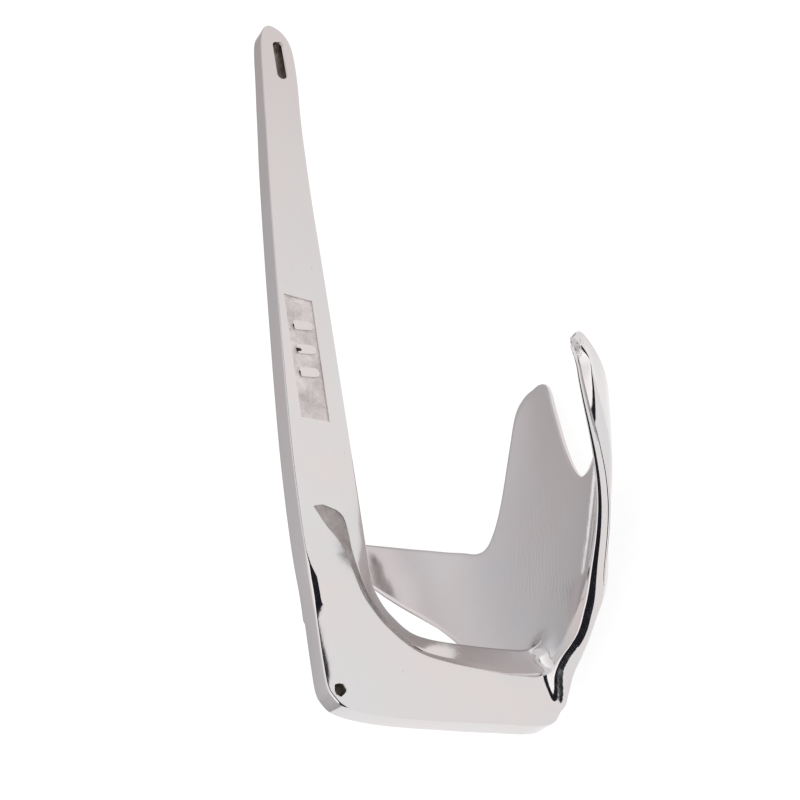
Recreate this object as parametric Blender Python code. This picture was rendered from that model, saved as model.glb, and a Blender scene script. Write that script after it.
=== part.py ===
"""Small stainless claw anchor: a J-shaped cast shank, a three-fluke claw and the two welds between them.

The pieces are drawn in the anchor's own frame: X runs from the back edge of the shank
towards the claw, Y is across the flukes and Z runs along the shank towards its slotted
head, with the mass panel on the -Y side. They hang from an empty that lays the anchor
as it sets: shank level on top and pointing along +X, resting on the back of the claw,
with the origin on the floor under the middle of its bounding box.
"""

import math

import bmesh
import bpy
from mathutils import Vector
from mathutils.bvhtree import BVHTree

MM = 0.001
SHARP_ANGLE = math.radians(30.0)

# ---- driving dimensions, in millimetres ----
LENGTH = 255.3              # from under the heel to the top of the head
HEAD_THICKNESS = 7.6        # across the shank at its head
HEEL_THICKNESS = 9.4        # across the shank at its heel and arm
TAPER_START = 30.0          # heights along the shank between which its thickness tapers
TAPER_END = 205.0
EDGE_LAND = 3.0             # flat left on the thin inner edge of the shank
HEAD_LAND = 6.2             # the same, at the head, where the bevel has died away
CORNER = 0.5                # chamfer along the two back corners
PIECE_GAP = 0.3             # clearance between pieces that meet

SLOT_CENTRE = (8.0, 239.7)
SLOT_WIDTH = 3.6
SLOT_LENGTH = 15.5
SLOT_LEAN = math.radians(4.0)
HEEL_HOLE_CENTRE = (9.3, 7.7)
HEEL_HOLE_DIAMETER = 3.7

PANEL_DEPTH = 0.5
PANEL_CORNERS = ((1.8, 143.4), (11.8, 142.3), (14.2, 98.1), (4.3, 98.6))
BAR_CENTRES = ((7.7, 131.4), (8.2, 122.2), (8.7, 113.0))
BAR_WIDTH = 3.4             # along the shank
BAR_LENGTH = 6.4            # across it
BAR_HEIGHT = 0.4
BAR_LEAN = math.radians(-3.2)

GROOVE_DEPTH = 0.6
GROOVE_OUTLINE = (
    (5.9, 67.6), (8.7, 68.4), (11.4, 67.7), (14.1, 66.8), (15.7, 65.3), (16.6, 63.2),
    (17.2, 60.0), (17.8, 56.0), (18.7, 51.5), (19.8, 47.3), (21.3, 42.6), (23.2, 38.4),
    (25.6, 34.6), (28.4, 31.1), (31.6, 27.9), (35.4, 24.8), (39.4, 22.4), (39.0, 21.4),
    (35.0, 23.4), (31.2, 26.0), (28.0, 29.0), (25.0, 32.4), (22.2, 36.8), (20.2, 41.3),
    (18.3, 46.1), (16.4, 50.8), (15.2, 54.0), (13.1, 57.0), (10.6, 59.9), (8.5, 62.7),
    (6.9, 65.4),
)

# stations of the shank: (x, z) on the back, on the bevel's crease and on the inner edge
SHANK_STATIONS = (
    ((5.0, 255.2), (6.6, 255.3), (7.6, 255.0)),
    ((3.2, 253.8), (8.9, 253.8), (10.3, 253.2)),
    ((1.9, 251.2), (10.7, 251.0), (12.4, 250.4)),
    ((1.2, 246.4), (12.0, 246.4), (13.9, 246.1)),
    ((1.1, 240.0), (12.4, 240.0), (14.5, 240.0)),
    ((1.1, 231.0), (12.2, 231.0), (15.0, 231.0)),
    ((0.7, 221.0), (10.6, 221.0), (15.4, 221.0)),
    ((0.3, 210.0), (10.0, 210.0), (15.8, 210.0)),
    ((-0.2, 186.0), (11.2, 186.0), (16.9, 186.0)),
    ((-0.5, 160.0), (12.4, 160.0), (18.6, 160.0)),
    ((-0.6, 135.0), (13.0, 135.0), (20.2, 135.0)),
    ((-0.6, 112.0), (13.9, 112.0), (21.6, 112.0)),
    ((-0.4, 92.0), (14.7, 92.0), (22.8, 92.5)),
    ((0.0, 78.0), (15.9, 78.0), (23.6, 79.0)),
    ((0.6, 65.0), (16.8, 64.5), (24.3, 67.0)),
    ((1.5, 52.0), (17.6, 52.0), (24.9, 57.0)),
    ((2.5, 40.0), (20.0, 44.0), (25.4, 48.5)),
    ((3.7, 28.0), (22.0, 38.8), (26.1, 43.5)),
    ((4.8, 17.0), (24.8, 34.4), (27.9, 39.4)),
    ((5.8, 8.8), (27.4, 31.0), (30.0, 36.2)),
    ((7.2, 5.2), (30.2, 28.2), (32.5, 33.6)),
    ((10.0, 2.9), (33.0, 25.7), (35.4, 31.0)),
    ((16.0, 1.3), (36.2, 23.3), (38.8, 29.1)),
    ((24.0, 0.3), (40.4, 21.2), (43.4, 28.0)),
    ((34.0, 0.0), (46.0, 19.8), (48.6, 27.4)),
    ((46.0, 0.0), (53.0, 18.9), (54.2, 27.1)),
    ((58.0, 0.1), (61.0, 18.4), (62.0, 26.8)),
    ((70.0, 0.5), (70.2, 17.6), (70.4, 26.7)),
    ((79.0, 1.0), (78.6, 17.6), (77.6, 26.9)),
    ((88.0, 1.4), (88.0, 17.6), (88.0, 27.0)),
)

# stations of half the claw, from its middle to the side fluke's tip: front edge, rear edge (x, y, z)
CLAW_STATIONS = (
    ((96.4, 0.0, 123.0), (84.6, 0.0, 3.0)),
    ((97.0, 3.6, 123.4), (84.6, 1.8, 4.6)),
    ((97.6, 7.0, 122.6), (84.6, 3.6, 7.0)),
    ((97.3, 9.6, 120.4), (84.6, 5.2, 10.5)),
    ((96.3, 11.7, 116.4), (84.4, 7.0, 14.0)),
    ((95.1, 13.8, 110.0), (84.1, 9.2, 17.4)),
    ((93.7, 16.1, 103.2), (83.9, 12.0, 20.4)),
    ((92.3, 18.4, 96.4), (83.8, 15.2, 23.0)),
    ((91.1, 20.9, 89.8), (83.8, 19.0, 25.5)),
    ((90.3, 23.9, 83.6), (83.8, 22.5, 27.6)),
    ((90.0, 27.2, 78.8), (83.7, 26.0, 29.8)),
    ((90.2, 30.2, 76.2), (83.4, 29.6, 32.2)),
    ((90.3, 33.2, 75.5), (83.0, 33.2, 35.2)),
    ((89.9, 37.0, 76.2), (82.5, 37.0, 38.8)),
    ((88.4, 42.6, 78.8), (81.6, 41.5, 43.6)),
    ((85.9, 50.1, 82.0), (80.0, 46.8, 49.4)),
    ((82.8, 57.2, 85.3), (77.6, 52.0, 54.9)),
    ((79.1, 63.2, 88.0), (74.9, 57.0, 60.0)),
    ((74.6, 69.0, 90.7), (71.8, 62.4, 65.6)),
    ((69.8, 74.2, 93.1), (68.4, 67.4, 71.4)),
    ((64.6, 78.2, 95.0), (64.8, 71.9, 77.4)),
    ((60.2, 80.6, 96.3), (61.4, 76.0, 83.6)),
    ((56.9, 81.7, 96.8), (58.6, 78.8, 88.6)),
    ((54.4, 82.3, 96.7), (55.0, 81.5, 94.2)),
)
CLAW_FRONT_THICKNESS = 1.6
CLAW_REAR_THICKNESS = 6.4
CLAW_BODY = ((0.0, 12.4), (0.3, 10.4), (0.48, 9.0), (0.62, 4.6), (0.78, 3.4), (0.92, 4.4), (1.0, 3.2))
CLAW_CREST = 0.26           # where across a section, from its rear edge, it is thickest
CLAW_CAMBER = 2.0           # how far the inner face is hollowed between its edges
CLAW_RING = 12              # spans across a station's inner or outer face
CLAW_SPLITS = 2             # sections made for each step between two stations

WELD_LEG_ON_ARM = 5.2
WELD_LEG_ON_CLAW = 4.6
WELD_STANDOFF = 0.4         # clearance between a weld and the claw's face
WELD_HOLLOW = 0.22          # how concave the weld's face is, as a share of its leg


def remove_everything():
    for obj in list(bpy.data.objects):
        bpy.data.objects.remove(obj, do_unlink=True)


def collection(name):
    found = bpy.data.collections.new(name)
    bpy.context.scene.collection.children.link(found)
    return found


def material(name, colour, metallic, roughness):
    mat = bpy.data.materials.new(name)
    mat.use_nodes = True
    shader = mat.node_tree.nodes["Principled BSDF"]
    shader.inputs["Base Color"].default_value = (*colour, 1.0)
    shader.inputs["Metallic"].default_value = metallic
    shader.inputs["Roughness"].default_value = roughness
    return mat


def mesh_object(name, bm, home, mat=None):
    bmesh.ops.recalc_face_normals(bm, faces=bm.faces)
    mesh = bpy.data.meshes.new(name)
    bm.to_mesh(mesh)
    bm.free()
    mesh.shade_smooth()
    mesh.set_sharp_from_angle(angle=SHARP_ANGLE)
    obj = bpy.data.objects.new(name, mesh)
    home.objects.link(obj)
    if mat:
        mesh.materials.append(mat)
    return obj


def loft(name, rings, home, mat=None):
    """A closed body through rings of equal length, with a flat cap on each end."""
    bm = bmesh.new()
    rows = [[bm.verts.new(Vector(p) * MM) for p in ring] for ring in rings]
    count = len(rings[0])
    for low, high in zip(rows, rows[1:]):
        for i in range(count):
            j = (i + 1) % count
            bm.faces.new((low[i], low[j], high[j], high[i]))
    bm.faces.new(rows[0])
    bm.faces.new(rows[-1])
    return mesh_object(name, bm, home, mat)


def prism(name, outline, y_low, y_high, home, rest):
    """A cutter: an (x, z) outline carried across from y_low to y_high."""
    rings = [[(x, y, z) for x, z in outline] for y in (y_low, y_high)]
    cutter = loft(name, rings, home)
    cutter.parent = rest
    cutter.hide_render = True
    cutter.display_type = "WIRE"
    return cutter


def cut(obj, cutter, operation="DIFFERENCE"):
    step = obj.modifiers.new(cutter.name, "BOOLEAN")
    step.operation = operation
    step.solver = "EXACT"
    step.object = cutter


def rounded_slot(centre, width, length, lean, steps=8):
    """The (x, z) outline of a slot with round ends, leaning from the Z direction."""
    points = []
    reach = (length - width) / 2.0
    for end, start in ((1, 0.0), (-1, math.pi)):
        for i in range(steps + 1):
            angle = start + math.pi * i / steps
            x = width / 2.0 * math.cos(angle)
            z = end * reach + width / 2.0 * math.sin(angle)
            points.append((x, z))
    turned = []
    for x, z in points:
        across = x * math.cos(lean) - z * math.sin(lean)
        along = x * math.sin(lean) + z * math.cos(lean)
        turned.append((centre[0] + across, centre[1] + along))
    return turned


def bar_outline(centre):
    """The (x, z) outline of one plain raised bar on the panel."""
    points = []
    for across, along in ((-0.5, -0.5), (0.5, -0.5), (0.5, 0.5), (-0.5, 0.5)):
        x = across * BAR_LENGTH
        z = along * BAR_WIDTH
        points.append((
            centre[0] + x * math.cos(BAR_LEAN) + z * math.sin(BAR_LEAN),
            centre[1] - x * math.sin(BAR_LEAN) + z * math.cos(BAR_LEAN),
        ))
    return points


def blend(a, b, share):
    return a + (b - a) * share


def thickness_at(z):
    """Even around the heel and around the head, and tapered between them."""
    share = (z - TAPER_START) / (TAPER_END - TAPER_START)
    return blend(HEEL_THICKNESS, HEAD_THICKNESS, max(0.0, min(1.0, share)))


def land_at(z):
    share = max(0.0, min(1.0, (z - 208.0) / 26.0))
    return blend(EDGE_LAND, HEAD_LAND, share * share * (3.0 - 2.0 * share))


def shank_ring(back, crease, inner):
    """A section of the shank: square at the back, bevelled down to a thin inner edge."""
    back = Vector(back)
    crease = Vector(crease)
    inner = Vector(inner)
    inward = (inner - back).normalized()
    half = thickness_at(back.y) / 2.0
    land = land_at(back.y) / 2.0
    side = [
        (back, half - CORNER),
        (back + inward * CORNER, half),
        (crease, half),
        (inner - inward * 0.5, min(half, land + 0.2)),
        (inner, max(0.4, land - 0.5)),
    ]
    near = [(p.x, -w, p.y) for p, w in side]
    far = [(p.x, w, p.y) for p, w in reversed(side)]
    return near + far


def catmull(points, splits):
    """Points on a smooth curve through the given ones, with splits steps between each two."""
    points = [Vector(p) for p in points]
    out = []
    for i in range(len(points) - 1):
        p1, p2 = points[i], points[i + 1]
        p0 = points[i - 1] if i else p1 * 2.0 - p2
        p3 = points[i + 2] if i + 2 < len(points) else p2 * 2.0 - p1
        for k in range(splits):
            t = k / splits
            out.append(
                0.5 * (2.0 * p1 + (p2 - p0) * t
                       + (2.0 * p0 - 5.0 * p1 + 4.0 * p2 - p3) * t * t
                       + (3.0 * p1 - p0 - 3.0 * p2 + p3) * t * t * t)
            )
    out.append(points[-1])
    return out


def claw_edges():
    """Front and rear edge of the whole claw, from one side fluke's tip to the other's."""
    front = catmull([s[0] for s in CLAW_STATIONS], CLAW_SPLITS)
    rear = catmull([s[1] for s in CLAW_STATIONS], CLAW_SPLITS)
    other_front = [Vector((p.x, -p.y, p.z)) for p in reversed(front[1:])]
    other_rear = [Vector((p.x, -p.y, p.z)) for p in reversed(rear[1:])]
    return other_front + front, other_rear + rear


def body_at(reach):
    """Greatest thickness of the claw's section, from its middle (0) to a side fluke's tip (1)."""
    for (low, thick), (high, thin) in zip(CLAW_BODY, CLAW_BODY[1:]):
        if reach <= high:
            return blend(thick, thin, (reach - low) / (high - low))
    return CLAW_BODY[-1][1]


def claw_rings():
    front, rear = claw_edges()
    middle = [(a + b) / 2.0 for a, b in zip(front, rear)]
    rings = []
    last = len(front) - 1
    for i in range(last + 1):
        along = (middle[min(i + 1, last)] - middle[max(i - 1, 0)]).normalized()
        across = front[i] - rear[i]
        width = across.length
        across = across.normalized()
        outward = along.cross(across).normalized()
        if outward.x < 0:
            outward = -outward
        reach = abs(2.0 * i / last - 1.0)          # 0 at the middle, 1 at a tip
        body = body_at(reach)
        camber = CLAW_CAMBER * min(1.0, width / 30.0)
        rear_t = min(CLAW_REAR_THICKNESS, body * 0.8)
        front_t = CLAW_FRONT_THICKNESS
        inner = []
        outer = []
        for k in range(CLAW_RING + 1):
            v = k / CLAW_RING
            hollow = camber * 4.0 * v * (1.0 - v)
            if v < CLAW_CREST:
                share = v / CLAW_CREST
                thickness = blend(rear_t, body, share * (2.0 - share))
            else:
                share = (v - CLAW_CREST) / (1.0 - CLAW_CREST)
                thickness = blend(body, front_t, share ** 1.15)
            foot = rear[i] + across * (width * v) + outward * hollow
            inner.append(foot)
            outer.append(foot + outward * thickness)
        front_nose = (inner[-1] + outer[-1]) / 2.0 + across * front_t * 0.35
        rear_nose = (inner[0] + outer[0]) / 2.0 - across * rear_t * 0.4
        rings.append(inner + [front_nose] + list(reversed(outer)) + [rear_nose])
    return rings


def claw_face_finder(claw):
    """A function giving the x of the claw's inner face at (y, z)."""
    bm = bmesh.new()
    bm.from_mesh(claw.data)
    tree = BVHTree.FromBMesh(bm)
    bm.free()

    def face_x(y, z):
        start = Vector((30.0, y, z)) * MM
        hit = tree.ray_cast(start, Vector((1.0, 0.0, 0.0)))[0]
        return hit.x / MM if hit else 84.0

    return face_x


def weld_rings(side, face_x):
    """Sections of one weld, from under the arm up its side and over its bevel to the top."""
    half = thickness_at(0.0) / 2.0
    land = land_at(0.0) / 2.0
    path = (
        ((half, 13.6), (1.0, 0.15), 0.20),
        ((half, 15.0), (1.0, 0.15), 0.42),
        ((half, 16.8), (1.0, 0.15), 0.70),
        ((half * 0.96, 18.8), (0.97, 0.26), 0.95),
        (((half + land) / 2.0, 22.4), (0.90, 0.42), 1.0),
        ((land + 0.35, 25.8), (0.74, 0.68), 0.95),
        ((land - 0.5, 27.4), (0.34, 0.94), 0.90),
        ((0.2, 27.6), (0.0, 1.0), 0.88),
    )
    rings = []
    for (y, z), normal, size in path:
        foot = Vector((y, z))
        out = Vector(normal).normalized()
        inner = foot + out * PIECE_GAP
        leg_arm = WELD_LEG_ON_ARM * size
        leg_claw = WELD_LEG_ON_CLAW * size
        root_x = face_x(side * inner.x, inner.y) - WELD_STANDOFF
        ring = [(root_x, side * inner.x, inner.y)]
        for share in (0.0, 0.25, 0.5, 0.75, 1.0):
            hollow = WELD_HOLLOW * 4.0 * share * (1.0 - share)
            reach = max(0.15, leg_claw * share * (1.0 - hollow))
            back = leg_arm * (1.0 - share) * (1.0 - hollow)
            at = inner + out * reach
            x = face_x(side * at.x, at.y) - WELD_STANDOFF - back
            ring.append((min(x, root_x - 0.1 if share < 1.0 else x), side * at.x, at.y))
        rings.append(ring)
    return rings


def build():
    remove_everything()
    home = collection("boat_anchor")
    cutters = collection("cutters")
    polished = {"colour": (0.62, 0.61, 0.60), "metallic": 1.0, "roughness": 0.18}

    claw = loft("claw", claw_rings(), home, material("claw_steel", **polished))
    face_x = claw_face_finder(claw)
    crown_x = max(v.co.x for v in claw.data.vertices)
    rest = bpy.data.objects.new("anchor_rest", None)
    home.objects.link(rest)
    rest.rotation_euler = (0.0, math.radians(90.0), 0.0)
    rest.location = (-LENGTH / 2.0 * MM, 0.0, crown_x)
    claw.parent = rest

    rings = [shank_ring(*s) for s in SHANK_STATIONS]
    end_x = min(face_x(y, z) for y in (-5.5, 0.0, 5.5) for z in range(4, 28)) - PIECE_GAP
    rings[-1] = [(end_x, y, z) for _, y, z in rings[-1]]
    shank = loft("shank", rings, home, material("shank_steel", **polished))
    shank.parent = rest

    slot = rounded_slot(SLOT_CENTRE, SLOT_WIDTH, SLOT_LENGTH, SLOT_LEAN)
    cut(shank, prism("slot_cutter", slot, -20.0, 20.0, cutters, rest))
    hole = rounded_slot(HEEL_HOLE_CENTRE, HEEL_HOLE_DIAMETER, HEEL_HOLE_DIAMETER + 0.01, 0.0, 12)
    cut(shank, prism("heel_hole_cutter", hole, -20.0, 20.0, cutters, rest))
    floor = PANEL_DEPTH - thickness_at(118.0) / 2.0
    panel = prism("panel_cutter", PANEL_CORNERS, -20.0, floor, cutters, rest)
    for number, centre in enumerate(BAR_CENTRES, 1):
        name = "panel_bar_keeper_" + str(number)
        cut(panel, prism(name, bar_outline(centre), floor - BAR_HEIGHT, 5.0, cutters, rest))
    cut(shank, panel)
    for side in (-1.0, 1.0):
        face = thickness_at(45.0) / 2.0
        low, high = sorted((side * 20.0, side * (face - GROOVE_DEPTH)))
        name = "groove_cutter_near" if side < 0 else "groove_cutter_far"
        cut(shank, prism(name, GROOVE_OUTLINE, low, high, cutters, rest))

    weld_steel = {"colour": (0.58, 0.57, 0.56), "metallic": 1.0, "roughness": 0.25}
    for name, side in (("weld_fillet_near", -1.0), ("weld_fillet_far", 1.0)):
        weld = loft(name, weld_rings(side, face_x), home, material(name + "_steel", **weld_steel))
        weld.parent = rest


build()
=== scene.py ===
"""Looks of the small polished stainless claw anchor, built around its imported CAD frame.

The castings are lofted in the anchor's own axes, in millimetres: x runs from the back
edge of the shank towards the claw, y is across the flukes and z runs along the shank
towards its slotted head. place() turns such a point into the row's frame.
"""

import math
import bmesh
import bpy
import numpy as np
from mathutils import Matrix, Vector
from mathutils.bvhtree import BVHTree


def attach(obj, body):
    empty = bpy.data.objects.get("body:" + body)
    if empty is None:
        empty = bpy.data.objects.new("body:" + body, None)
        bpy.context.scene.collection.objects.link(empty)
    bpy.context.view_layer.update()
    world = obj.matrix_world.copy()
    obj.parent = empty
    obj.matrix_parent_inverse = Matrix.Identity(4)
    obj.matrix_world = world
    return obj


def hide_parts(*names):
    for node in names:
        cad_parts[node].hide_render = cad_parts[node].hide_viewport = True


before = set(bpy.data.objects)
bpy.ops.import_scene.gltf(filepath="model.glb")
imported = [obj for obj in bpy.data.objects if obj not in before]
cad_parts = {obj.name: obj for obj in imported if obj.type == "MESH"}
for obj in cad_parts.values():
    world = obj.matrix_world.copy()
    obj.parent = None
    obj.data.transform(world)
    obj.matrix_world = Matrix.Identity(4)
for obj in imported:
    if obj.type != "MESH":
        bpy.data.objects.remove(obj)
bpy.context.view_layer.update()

MM = 0.001

# ---- places and sizes of the anchor, in millimetres ----
HALF_LENGTH = 127.65  # half of the anchor's length along the shank
FLOOR_X = 102.05  # how deep the back of the claw lies below the back of the shank
HEAD_THICKNESS = 7.6
HEEL_THICKNESS = 9.4
TAPER_START = 30.0
TAPER_END = 205.0
EDGE_LAND = 3.0  # width left flat on the inner edge between its bevels,
HEAD_LAND = 6.2  # and at the head, where the bevels have run out
HEAD_LAND_RUN = (208.0, 234.0)
LAND_INSET = 0.3  # and at least this far within the far face
CORNER_RADIUS = 0.7
HEEL_TURN = 9.0  # where the back of the shank turns into the heel's underside
HEEL_DEPTH = 6.1
# along the back corner, by z and on past the heel: width and slope in degrees of the worn flat
WORN_CORNER = (
    (-40.0, 0.4, 8.0), (-14.0, 2.0, 8.0), (0.0, 4.0, 8.0), (20.0, 5.0, 8.0), (32.0, 4.4, 8.5),
    (33.6, 3.0, 16.0), (35.0, 2.6, 20.5), (43.0, 2.4, 20.5), (47.0, 1.2, 20.5),
    (52.0, 0.35, 20.0), (240.0, 0.3, 20.0),
)
WORN_SHARE = 0.45  # the most of the face that the worn flat takes
WORN_SOFT = 0.3  # how softly it ends on the face
FAR_STEEP = 9.5  # where the near corner's flat is steeper than this,
FAR_WORN = 0.3  # the far one's is only this wide
FAR_TAPER = 1.4  # how much closer the far face comes at the head
FAR_TAPER_RUN = (195.0, 240.0)
CREASE_REACH = 1.7  # how far the softened crease reaches on each side of its line
EDGE_RADIUS = 0.9
SHANK_SPLITS = 8
CORNER_STEPS = 5
WORN_STEPS = 3
CREASE_STEPS = 6

# (x, z) of the back, of the bevel's crease and of the inner edge, from the head round to the claw
SHANK_STATIONS = (
    ((4.4, 253.8), (6.4, 254.0), (8.0, 253.6)),
    ((3.2, 253.0), (8.4, 253.2), (9.8, 252.6)),
    ((2.1, 251.2), (10.5, 251.2), (11.8, 250.4)),
    ((1.2, 247.6), (12.0, 247.4), (13.3, 246.8)),
    ((0.8, 241.0), (12.5, 241.0), (14.2, 241.0)),
    ((0.6, 231.0), (12.3, 231.0), (14.8, 231.0)),
    ((0.4, 221.0), (10.8, 221.0), (15.2, 221.0)),
    ((0.3, 210.0), (10.0, 210.0), (15.8, 210.0)),
    ((-0.2, 186.0), (11.2, 186.0), (16.9, 186.0)),
    ((-0.5, 160.0), (12.4, 160.0), (18.6, 160.0)),
    ((-0.6, 135.0), (13.0, 135.0), (20.2, 135.0)),
    ((-0.6, 112.0), (13.9, 112.0), (21.6, 112.0)),
    ((-0.4, 92.0), (14.7, 92.0), (22.8, 92.5)),
    ((0.0, 78.0), (15.9, 78.0), (23.6, 79.0)),
    ((0.6, 65.0), (16.8, 64.5), (24.3, 67.0)),
    ((1.5, 52.0), (17.6, 52.0), (24.9, 57.0)),
    ((2.8, 40.0), (20.0, 44.0), (25.4, 48.5)),
    ((3.6, 28.0), (22.0, 38.8), (26.1, 43.5)),
    ((4.3, 17.0), (24.8, 34.4), (27.9, 39.4)),
    ((5.2, 8.8), (27.4, 31.0), (30.0, 36.2)),
    ((7.2, 5.2), (30.2, 28.2), (32.5, 33.6)),
    ((10.0, 2.9), (33.0, 25.7), (35.4, 31.0)),
    ((16.0, 1.3), (36.2, 23.3), (38.8, 29.1)),
    ((24.0, 0.4), (40.4, 21.2), (43.4, 28.0)),
    ((34.0, 0.0), (46.0, 19.8), (48.6, 27.4)),
    ((46.0, 0.0), (53.0, 18.9), (54.2, 27.1)),
    ((58.0, 0.1), (61.0, 18.4), (62.0, 26.8)),
    ((69.0, 0.3), (70.2, 17.6), (70.4, 26.7)),
    ((77.0, 0.4), (77.6, 17.6), (77.0, 26.9)),
    ((81.8, 0.9), (82.6, 17.6), (82.6, 27.0)),
    ((84.6, 2.0), (85.6, 17.6), (86.0, 26.6)),
    ((86.4, 3.9), (87.4, 17.4), (88.0, 25.6)),
    ((88.0, 6.5), (88.8, 17.0), (89.4, 24.4)),
    ((89.8, 9.9), (90.4, 16.4), (90.8, 22.6)),
)

# (x, y, z) of the front and rear edge of half the claw, from its middle to the side fluke's tip
CLAW_STATIONS = (
    ((96.4, 0.0, 124.0), (84.6, 0.0, 8.0)),
    ((97.0, 3.6, 123.9), (84.6, 2.8, 8.4)),
    ((97.6, 7.0, 122.6), (84.6, 4.6, 9.8)),
    ((97.3, 9.6, 120.4), (84.8, 5.4, 12.9)),
    ((96.3, 11.7, 116.4), (85.0, 6.2, 16.6)),
    ((95.1, 13.8, 110.0), (85.1, 7.7, 19.6)),
    ((93.7, 16.1, 103.2), (85.1, 10.4, 21.7)),
    ((92.3, 18.4, 96.4), (85.0, 14.4, 23.5)),
    ((91.1, 20.9, 89.8), (84.6, 18.6, 25.2)),
    ((90.3, 23.9, 83.6), (84.2, 22.3, 27.2)),
    ((90.0, 27.2, 78.8), (83.7, 26.0, 29.8)),
    ((90.2, 30.2, 76.2), (83.4, 29.6, 32.2)),
    ((90.3, 33.2, 75.5), (83.0, 33.2, 35.2)),
    ((89.9, 37.0, 76.2), (82.5, 37.0, 38.8)),
    ((88.4, 42.6, 78.8), (81.6, 41.5, 43.6)),
    ((85.9, 50.1, 82.0), (80.0, 46.8, 49.4)),
    ((82.8, 57.2, 85.3), (77.6, 52.0, 54.9)),
    ((79.1, 63.2, 88.0), (74.9, 57.0, 60.0)),
    ((74.6, 69.0, 90.7), (71.8, 62.4, 65.6)),
    ((69.8, 74.8, 93.4), (68.4, 67.4, 71.4)),
    ((64.9, 79.4, 95.5), (64.8, 71.9, 77.4)),
    ((60.8, 82.0, 96.6), (61.4, 76.0, 83.6)),
    ((57.4, 82.8, 96.2), (58.6, 78.8, 88.2)),
    ((54.6, 83.0, 94.4), (55.2, 81.8, 92.0)),
)
CLAW_FRONT_THICKNESS = 1.6
# along half the claw, from its middle (0) to a side fluke's tip (1): drop of the bevel on the
# rear edge, width of the flat worn below it, thickness there, and the flat's lean in degrees
CLAW_REAR = (
    (0.0, 1.6, 2.2, 4.2, 64.0), (0.087, 1.5, 2.5, 4.9, 67.0), (0.13, 1.2, 2.7, 6.0, 68.0),
    (0.174, 0.7, 2.9, 7.5, 69.0), (0.217, 0.6, 3.1, 8.8, 76.0), (0.26, 0.8, 3.2, 8.9, 77.0),
    (0.304, 1.3, 3.1, 8.4, 76.0), (0.348, 1.8, 3.0, 7.8, 79.0), (0.39, 1.9, 3.0, 7.3, 83.0),
    (0.435, 1.7, 2.9, 7.0, 85.5), (0.478, 1.4, 2.9, 6.8, 88.0), (0.52, 1.1, 2.7, 6.4, 91.0),
    (0.565, 0.8, 2.3, 5.6, 96.0), (0.61, 0.6, 1.9, 5.0, 98.5), (0.7, 0.5, 1.5, 4.4, 105.0),
    (0.8, 0.4, 1.1, 3.2, 117.5), (0.9, 0.3, 0.6, 1.9, 128.0), (1.0, 0.2, 0.2, 1.0, 136.0),
)
REAR_SPLITS = 6
LOW_TURN = math.radians(24.0)  # how much further the edge leans below the worn flat
LEAST_LOW = 0.2  # and how thick it at least is there
UNDERCUT = 0.25  # how far under the claw its outer corner may come, as a share of its width
BEVEL_WIDTH = 0.8
# (y, z) of the bevel's inner edge for the first stations, counted from the middle of the claw
CLAW_BEVEL = (
    (0.0, 15.6), (1.2, 16.0), (2.3, 17.0), (3.3, 18.4), (4.4, 20.0), (6.0, 21.7), (8.6, 23.5),
    (12.0, 25.4), (16.0, 27.3), (20.0, 29.1), (24.0, 30.9), (28.0, 33.0), (32.1, 36.0),
)
# greatest thickness, along half the claw, and where between its edges the claw is thickest
CLAW_BODY = ((0.0, 12.4), (0.3, 10.4), (0.48, 9.0), (0.62, 4.6), (0.78, 4.4), (0.92, 4.8), (1.0, 3.6))
CLAW_CREST = 0.26
BODY_SPLITS = 8
CLAW_FALL = 1.15  # how the thickness falls from the crest to the front edge
CLAW_CAMBER = 1.2  # how much the inner face is hollowed,
CAMBER_WIDTH = 30.0  # less where the claw is narrower than this,
CLAW_CAMBER_WEIGHT = 0.3  # and how much that counts against its edges
CLAW_CALM = 0.02  # keeps the inner face from waving beyond its edges
FACE_MIDDLE = 50.0  # z and spans that the inner face is fitted over
FACE_ACROSS = 80.0
FACE_ALONG = 60.0
CLAW_SPLITS = 8
CLAW_SPANS = 28
TANGENT_REACH = 2  # rings to each side that give the rear edge's direction
CORNER_ROUNDING = 0.5
FRONT_STEPS = 6

# the block around the joint whose surface is blended, low and high corner, and how softly
JOINT_LOW = (73.0, -17.0, -2.0)
JOINT_HIGH = (108.0, 17.0, 37.0)
JOINT_PITCH = 0.5
CELL_CORNERS = [(i, j, k) for i in (0, 1) for j in (0, 1) for k in (0, 1)]
BLEND_LOW = 2.4  # how softly arm and claw run together at the heel,
BLEND_HIGH = 6.0  # above it and on the outside,
BLEND_RIM = 10.0  # and at the arm's inner rim
BLEND_HIGH_RUN = (7.0, 17.0)  # z where each takes over,
BLEND_RIM_RUN = (19.0, 26.0)
BLEND_OUT_RUN = (88.0, 92.0)  # and x where the outside's does
# ways in which the surface is looked for around a point, and how far past each find the look goes on
RAY_WAYS = ((0.36, 0.15, 0.92), (-0.52, 0.71, 0.33), (0.66, -0.23, -0.61))
RAY_STEP = 1e-3
SURE = 0.9  # a nearest spot this squarely below a point gives its side
WELD_SHARE = 0.55  # how much of the blend counts as weld

SLOT_CENTRE = (8.0, 239.7)
SLOT_WIDTH = 3.2
SLOT_LENGTH = 15.5
SLOT_LEAN = math.radians(4.0)
SLOT_LIP = 0.6
SLOT_STEPS = 10
HEEL_HOLE_CENTRE = (9.3, 7.7)
HEEL_HOLE_DIAMETER = 3.7
HOLE_LIP = 0.3
HOLE_POINTS = 40
HOLE_TALL = 1.08
HOLE_RAG = ((3.0, 0.05, 0.6), (5.0, 0.045, 2.0), (8.0, 0.03, 1.0))  # waves, height and start
LIP_STEPS = 4
CUT_PAST = 3.0  # how far the cutters stand out of the faces

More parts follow.
